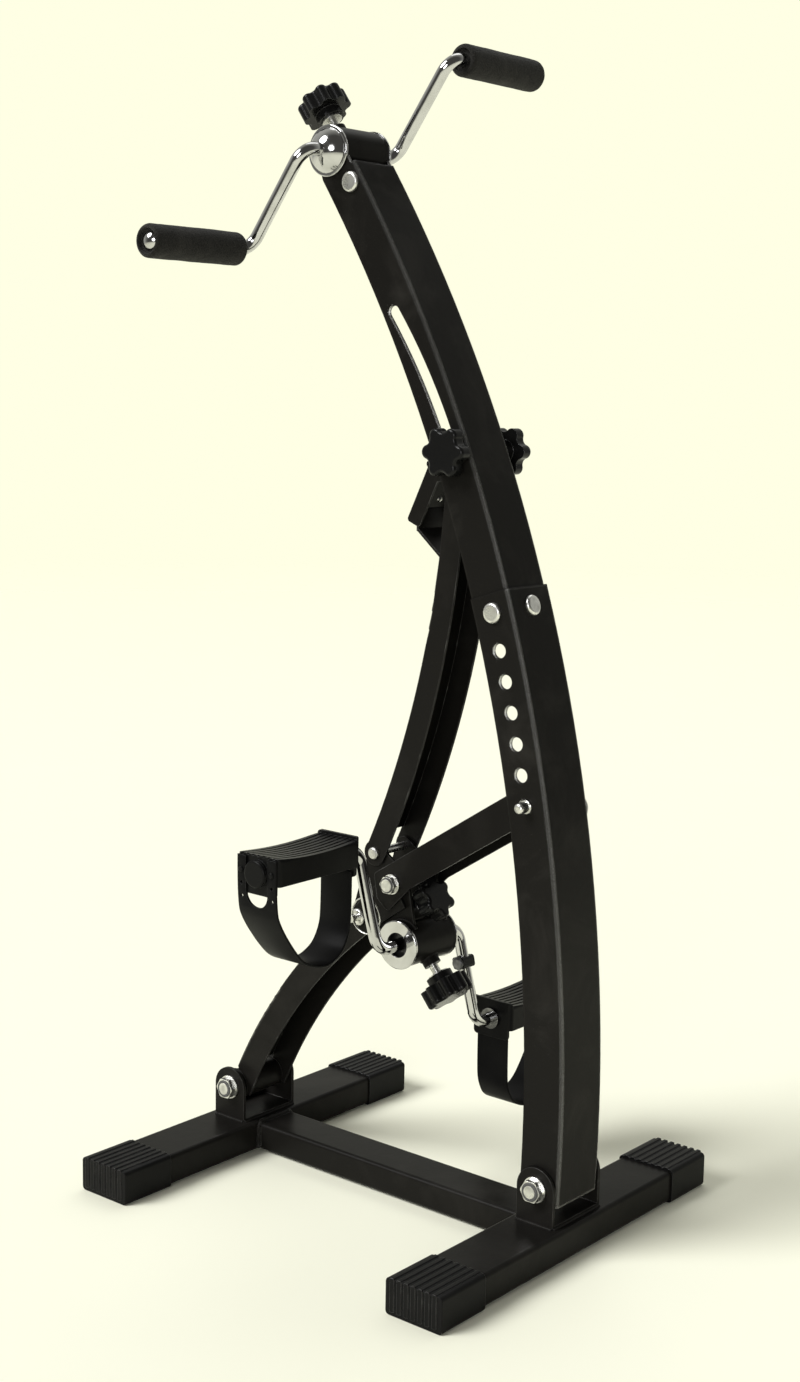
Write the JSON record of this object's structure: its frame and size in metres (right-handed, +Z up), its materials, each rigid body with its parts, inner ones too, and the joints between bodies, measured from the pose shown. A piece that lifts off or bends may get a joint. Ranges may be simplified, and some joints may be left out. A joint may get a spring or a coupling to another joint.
{
  "type": "pedal exerciser",
  "caption": "Upright arm and leg pedal exerciser: curved folding frame on a stabiliser base, strapped foot pedals below and foam hand cranks on top.",
  "frame": {"origin": "on the floor under the middle of the base", "axes": "+Z up, +X towards the upright's stabiliser, +Y across towards the far side in the picture"},
  "size_m": [0.4474, 0.42, 1.0949],
  "materials": {
    "black_frame": "satin black powder coat",
    "chrome": "bright chrome plate",
    "zinc": "bright zinc plate",
    "cap_plastic": "black moulded plastic",
    "knob_plastic": "satin black plastic",
    "pedal_plastic": "satin black plastic",
    "strap_plastic": "soft black plastic strap",
    "foam": "matte black foam",
    "bushing_plastic": "dark bearing plastic",
    "magnet": "grey sensor magnet"
  },
  "bodies": {
    "base": {"rear_stabiliser_tube": "black_frame", "front_stabiliser_tube": "black_frame", "centre_beam": "black_frame", "rear_near_end_cap": "cap_plastic", "rear_far_end_cap": "cap_plastic", "front_near_end_cap": "cap_plastic", "front_far_end_cap": "cap_plastic", "rear_hinge_bracket": "black_frame", "front_hinge_bracket": "black_frame", "rear_hinge_bolt": "zinc", "front_hinge_bolt": "zinc"},
    "upright": {"lower_upright": "black_frame", "upper_upright": "black_frame", "upright_bush": "black_frame", "joint_bolts": "zinc", "top_bolt": "zinc", "hand_barrel": "black_frame", "hand_cups": "chrome", "hand_bushings": "bushing_plastic"},
    "hand_drive": {"hand_crank": "chrome", "hand_crank_caps": "chrome"},
    "near_handgrip": {"near_grip": "foam"},
    "far_handgrip": {"far_grip": "foam"},
    "hand_tension": {"hand_knob": "knob_plastic", "hand_knob_stud": "zinc"},
    "height_lock": {"height_pin": "zinc"},
    "height_lock_ring": {"height_pin_ring": "zinc"},
    "slider": {"slot_bolt": "zinc", "slot_washers": "zinc"},
    "near_slider_knob": {"near_slot_knob": "knob_plastic"},
    "far_slider_knob": {"far_slot_knob": "knob_plastic"},
    "rear_leg": {"leg": "black_frame", "leg_bush": "black_frame", "crank_bracket": "black_frame", "bracket_spacers": "zinc", "arm_bolt": "zinc", "strut_bolt": "zinc", "foot_barrel": "black_frame", "foot_cups": "chrome", "foot_bushings": "bushing_plastic"},
    "fold_lock": {"fold_pin": "zinc"},
    "fold_lock_ring": {"fold_pin_ring": "zinc"},
    "bracket_knob": {"lock_knob": "knob_plastic", "lock_knob_stud": "zinc"},
    "foot_drive": {"foot_crank": "chrome", "foot_retainers": "chrome", "magnet_clip": "knob_plastic", "magnet_disc": "magnet"},
    "near_footrest": {"near_pedal": "pedal_plastic", "near_strap": "strap_plastic", "near_pedal_cap": "pedal_plastic"},
    "far_footrest": {"far_pedal": "pedal_plastic", "far_strap": "strap_plastic", "far_pedal_cap": "pedal_plastic"},
    "foot_tension": {"foot_knob": "knob_plastic", "foot_knob_stud": "zinc"},
    "cross_arm": {"arm": "black_frame"},
    "long_strut": {"strut": "black_frame", "strut_head": "black_frame", "strut_screws": "zinc"}
  },
  "joints": [
    {"name": "upright_lean", "type": "hinge", "parent": "base", "child": "upright", "pos_m": [0.193, 0, 0.065], "axis": [0, -1, 0], "range_deg": [0, 10]},
    {"name": "leg_lift", "type": "hinge", "parent": "base", "child": "rear_leg", "pos_m": [-0.193, 0, 0.065], "axis": [0, -1, 0], "range_deg": [0, 17.61]},
    {"name": "arm_fold", "type": "hinge", "parent": "rear_leg", "child": "cross_arm", "pos_m": [0.01221, 0, 0.31405], "axis": [0, -1, 0], "range_deg": [-38.07, 0]},
    {"name": "strut_fold", "type": "hinge", "parent": "rear_leg", "child": "long_strut", "pos_m": [-0.01429, 0, 0.33885], "axis": [0, -1, 0], "range_deg": [-5.03, 0]},
    {"name": "slot_travel", "type": "hinge", "parent": "upright", "child": "slider", "pos_m": [-0.47848, 0, 0.48738], "axis": [0, -1, 0], "range_deg": [0, 9.92]},
    {"name": "hand_crank_turn", "type": "hinge", "parent": "upright", "child": "hand_drive", "pos_m": [-0.07842, 0, 0.99137], "axis": [0, 1, 0], "continuous": true},
    {"name": "near_grip_spin", "type": "hinge", "parent": "hand_drive", "child": "near_handgrip", "pos_m": [-0.14335, -0.14, 0.90134], "axis": [0, 1, 0], "continuous": true},
    {"name": "far_grip_spin", "type": "hinge", "parent": "hand_drive", "child": "far_handgrip", "pos_m": [-0.01349, 0.14, 1.0814], "axis": [0, 1, 0], "continuous": true},
    {"name": "hand_tension_turn", "type": "hinge", "parent": "upright", "child": "hand_tension", "pos_m": [-0.07842, 0, 0.99137], "axis": [-0.5878, 0, 0.809], "continuous": true},
    {"name": "height_pin_pull", "type": "slide", "parent": "upright", "child": "height_lock", "axis": [0, 1, 0], "range_m": [0, 0.085]},
    {"name": "height_ring_swing", "type": "hinge", "parent": "height_lock", "child": "height_lock_ring", "pos_m": [0.16636, 0.0387, 0.41208], "axis": [0.866, 0, 0.5], "range_deg": [0, 60]},
    {"name": "near_slot_knob_turn", "type": "hinge", "parent": "slider", "child": "near_slider_knob", "pos_m": [0.07423, -0.045, 0.72087], "axis": [0, 1, 0], "continuous": true},
    {"name": "far_slot_knob_turn", "type": "hinge", "parent": "slider", "child": "far_slider_knob", "pos_m": [0.07423, 0.045, 0.72087], "axis": [0, 1, 0], "continuous": true},
    {"name": "fold_pin_pull", "type": "slide", "parent": "rear_leg", "child": "fold_lock", "axis": [0, -1, 0], "range_m": [0, 0.05]},
    {"name": "fold_ring_swing", "type": "hinge", "parent": "fold_lock", "child": "fold_lock_ring", "pos_m": [-0.03109, -0.0341, 0.27345], "axis": [-0.3239, 0, 0.9461], "range_deg": [-60, 0]},
    {"name": "bracket_knob_turn", "type": "hinge", "parent": "rear_leg", "child": "bracket_knob", "pos_m": [0.02391, 0, 0.28895], "axis": [0.8387, 0, 0.5446], "continuous": true},
    {"name": "foot_crank_turn", "type": "hinge", "parent": "rear_leg", "child": "foot_drive", "pos_m": [0.02186, 0, 0.25695], "axis": [0, 1, 0], "continuous": true},
    {"name": "near_pedal_spin", "type": "hinge", "parent": "foot_drive", "child": "near_footrest", "pos_m": [0.00132, -0.146, 0.35359], "axis": [0, 1, 0], "continuous": true},
    {"name": "far_pedal_spin", "type": "hinge", "parent": "foot_drive", "child": "far_footrest", "pos_m": [0.0424, 0.146, 0.16031], "axis": [0, 1, 0], "continuous": true},
    {"name": "foot_tension_turn", "type": "hinge", "parent": "rear_leg", "child": "foot_tension", "pos_m": [0.02186, 0, 0.25695], "axis": [0.6428, 0, -0.766], "continuous": true}
  ],
  "couplings": [
    {"joint": "leg_lift", "follows": "upright_lean", "ratio": 1.7505},
    {"joint": "arm_fold", "follows": "upright_lean", "ratio": -3.7973},
    {"joint": "strut_fold", "follows": "upright_lean", "ratio": -0.49761},
    {"joint": "slot_travel", "follows": "upright_lean", "ratio": 0.9901}
  ]
}
